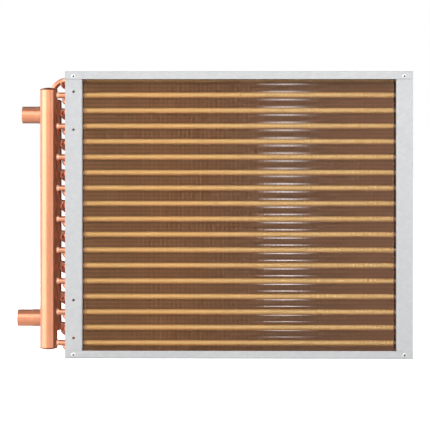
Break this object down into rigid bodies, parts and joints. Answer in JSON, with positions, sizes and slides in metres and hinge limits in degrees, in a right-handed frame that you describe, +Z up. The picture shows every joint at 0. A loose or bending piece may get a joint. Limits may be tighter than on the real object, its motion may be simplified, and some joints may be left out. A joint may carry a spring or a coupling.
{
  "type": "water-to-air heat exchanger",
  "caption": "Finned copper tube coil in a folded steel casing, with headers and stub ports at one end: hot water inside warms the air blown through it.",
  "frame": {"origin": "centre of the underside of the casing", "axes": "+X along the tubes, away from the headers; -Y out of the face with the front header; +Z up"},
  "size_m": [0.6533, 0.091, 0.4684],
  "materials": {
    "galvanised_steel": "galvanised, fine spangle",
    "copper_tube": "drawn copper, bright",
    "fin_aluminium": "bare rolled foil",
    "rivet_aluminium": "bright"
  },
  "bodies": {
    "root": {"top_channel": "galvanised_steel", "bottom_channel": "galvanised_steel", "left_end_plate": "galvanised_steel", "right_end_plate": "galvanised_steel", "front_row_hairpin_1": "copper_tube", "front_row_hairpin_2": "copper_tube", "front_row_hairpin_3": "copper_tube", "front_row_hairpin_4": "copper_tube", "front_row_hairpin_5": "copper_tube", "front_row_hairpin_6": "copper_tube", "front_row_hairpin_7": "copper_tube", "front_row_hairpin_8": "copper_tube", "front_row_hairpin_9": "copper_tube", "middle_row_hairpin_1": "copper_tube", "middle_row_hairpin_2": "copper_tube", "middle_row_hairpin_3": "copper_tube", "middle_row_hairpin_4": "copper_tube", "middle_row_hairpin_5": "copper_tube", "middle_row_hairpin_6": "copper_tube", "middle_row_hairpin_7": "copper_tube", "middle_row_hairpin_8": "copper_tube", "middle_row_hairpin_9": "copper_tube", "rear_row_hairpin_1": "copper_tube", "rear_row_hairpin_2": "copper_tube", "rear_row_hairpin_3": "copper_tube", "rear_row_hairpin_4": "copper_tube", "rear_row_hairpin_5": "copper_tube", "rear_row_hairpin_6": "copper_tube", "rear_row_hairpin_7": "copper_tube", "rear_row_hairpin_8": "copper_tube", "rear_row_hairpin_9": "copper_tube", "front_return_bends": "copper_tube", "rear_return_bends": "copper_tube", "front_feeders": "copper_tube", "rear_feeders": "copper_tube", "rear_top_feeder": "copper_tube", "front_header": "copper_tube", "rear_header": "copper_tube", "front_header_top_cap": "copper_tube", "front_header_bottom_cap": "copper_tube", "rear_header_top_cap": "copper_tube", "rear_header_bottom_cap": "copper_tube", "header_partition": "copper_tube", "upper_port": "copper_tube", "lower_port": "copper_tube", "fin_pack": "fin_aluminium", "corner_rivets": "rivet_aluminium"}
  },
  "joints": []
}
